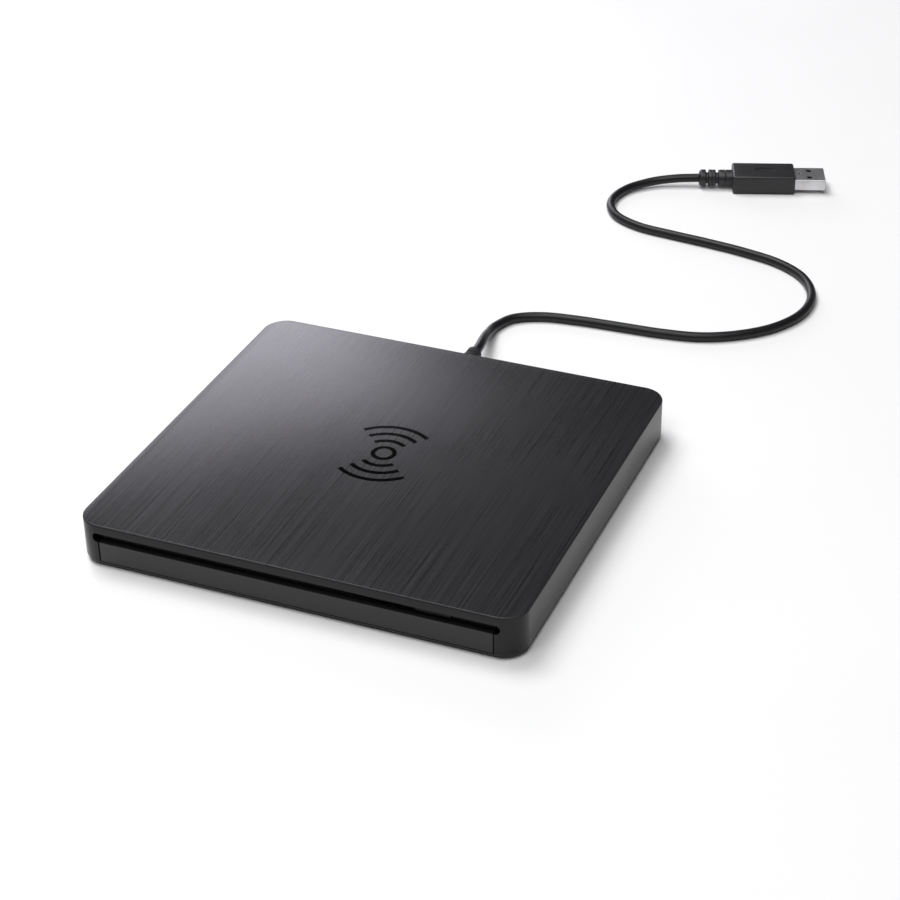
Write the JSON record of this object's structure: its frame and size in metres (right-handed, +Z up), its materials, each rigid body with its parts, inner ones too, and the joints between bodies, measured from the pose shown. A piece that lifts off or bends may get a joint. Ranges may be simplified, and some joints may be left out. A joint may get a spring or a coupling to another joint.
{
  "type": "external optical drive",
  "caption": "Slim tray-loading optical drive in a flat dark metal case with a finger groove across the front and a short captive USB lead ending in a plug.",
  "frame": {"origin": "on the supporting surface, under the centre of the case", "axes": "+X to the right along the case's front, +Y to the back where the lead leaves, +Z up out of the lid"},
  "size_m": [0.1681, 0.345, 0.015],
  "materials": {
    "case_black": "black anodised, finely brushed from front to back",
    "bezel_black": "fine moulded satin",
    "inner_black": "fine moulded grain",
    "rubber": "matte, lightly dusted",
    "cord_black": "smooth flexible vinyl jacket",
    "steel": "rolled sheet, galvanised",
    "bright_steel": "bright nickel",
    "gold": "gold flash and copper wire",
    "board_green": "solder mask over fibreglass",
    "chip_black": "moulded epoxy",
    "claw_white": "moulded white",
    "light_smoked": "smoked diffusing plastic",
    "lens_glass": "coated lens"
  },
  "bodies": {
    "root": {"top_cover": "case_black", "bottom_cover": "case_black", "foot_front_left": "rubber", "foot_front_right": "rubber", "foot_rear_left": "rubber", "foot_rear_right": "rubber", "case_screw_front_left": "steel", "case_screw_front_right": "steel", "case_screw_rear_left": "steel", "case_screw_rear_right": "steel", "drive_top_cover": "steel", "drive_chassis": "steel", "guide_rail_left": "inner_black", "guide_rail_right": "inner_black", "latch_pin": "bright_steel", "drive_connector_board": "board_green", "drive_sata_socket": "chip_black", "bridge_board": "board_green", "bridge_sata_plug": "chip_black", "bridge_chip": "chip_black", "crystal_can": "bright_steel", "strain_relief": "rubber", "usb_cord": "cord_black", "plug_overmould": "cord_black", "plug_shell": "bright_steel", "plug_tongue": "inner_black", "plug_contact_1": "gold", "plug_contact_2": "gold", "plug_contact_3": "gold", "plug_contact_4": "gold"},
    "tray": {"disc_tray": "inner_black", "tray_bezel": "bezel_black", "light_pipe": "light_smoked", "switch_board": "board_green", "eject_switch": "chip_black", "status_led": "light_smoked", "tray_under_cover": "steel", "traverse_frame": "steel", "spindle_stator": "board_green", "guide_rod_a": "bright_steel", "guide_rod_b": "bright_steel", "feed_motor": "steel", "damper_bush_1": "rubber", "damper_bush_2": "rubber", "damper_bush_3": "rubber", "lock_solenoid": "gold", "main_board": "board_green", "controller_chip": "chip_black"},
    "left_slide_rail": {"slide_rail_left": "bright_steel"},
    "right_slide_rail": {"slide_rail_right": "bright_steel"},
    "eject_button": {"eject_button": "bezel_black"},
    "spindle": {"spindle_hub": "bright_steel"},
    "claw_1": {"clamp_claw_1": "claw_white"},
    "claw_2": {"clamp_claw_2": "claw_white"},
    "claw_3": {"clamp_claw_3": "claw_white"},
    "pickup": {"pickup_sled": "inner_black"},
    "lens_carrier": {"lens_holder": "inner_black", "objective_lens": "lens_glass"},
    "leadscrew": {"leadscrew": "steel"},
    "latch_lever": {"latch_lever": "steel"}
  },
  "joints": [
    {"name": "tray_slide", "type": "slide", "parent": "root", "child": "tray", "axis": [0, -1, 0], "range_m": [0, 0.126]},
    {"name": "left_rail_slide", "type": "slide", "parent": "root", "child": "left_slide_rail", "axis": [0, -1, 0], "range_m": [0, 0.063]},
    {"name": "right_rail_slide", "type": "slide", "parent": "root", "child": "right_slide_rail", "axis": [0, -1, 0], "range_m": [0, 0.063]},
    {"name": "eject_button_press", "type": "slide", "parent": "tray", "child": "eject_button", "axis": [0, 1, 0], "range_m": [0, 0.0005], "stiffness_N_per_m": 800, "springref_m": -0.0005},
    {"name": "spindle_spin", "type": "hinge", "parent": "tray", "child": "spindle", "pos_m": [0, -0.003, 0.0099], "axis": [0, 0, 1], "continuous": true},
    {"name": "claw_1_press", "type": "slide", "parent": "spindle", "child": "claw_1", "axis": [-0.9659, 0.2588, 0], "range_m": [0, 0.0005], "stiffness_N_per_m": 600, "springref_m": -0.0003},
    {"name": "claw_2_press", "type": "slide", "parent": "spindle", "child": "claw_2", "axis": [0.2588, -0.9659, 0], "range_m": [0, 0.0005], "stiffness_N_per_m": 600, "springref_m": -0.0003},
    {"name": "claw_3_press", "type": "slide", "parent": "spindle", "child": "claw_3", "axis": [0.7071, 0.7071, 0], "range_m": [0, 0.0005], "stiffness_N_per_m": 600, "springref_m": -0.0003},
    {"name": "pickup_travel", "type": "slide", "parent": "tray", "child": "pickup", "axis": [-0.7071, -0.7071, 0], "range_m": [0, 0.033]},
    {"name": "leadscrew_turn", "type": "hinge", "parent": "tray", "child": "leadscrew", "pos_m": [-0.02072, 0.00315, 0.0074], "axis": [-0.7071, -0.7071, 0], "range_deg": [0, 3960.01]},
    {"name": "lens_focus", "type": "slide", "parent": "pickup", "child": "lens_carrier", "axis": [0, 0, 1], "range_m": [-0.0003, 0.0003], "stiffness_N_per_m": 300},
    {"name": "latch_release", "type": "hinge", "parent": "tray", "child": "latch_lever", "pos_m": [-0.043, 0.05, 0.0055], "axis": [0, 0, -1], "range_deg": [0, 14], "stiffness_Nm_per_rad": 0.002, "springref_deg": -11.46}
  ],
  "couplings": [
    {"joint": "left_rail_slide", "follows": "tray_slide", "ratio": 0.5},
    {"joint": "right_rail_slide", "follows": "tray_slide", "ratio": 0.5},
    {"joint": "leadscrew_turn", "follows": "pickup_travel", "rad_per_m": 2094.4}
  ]
}
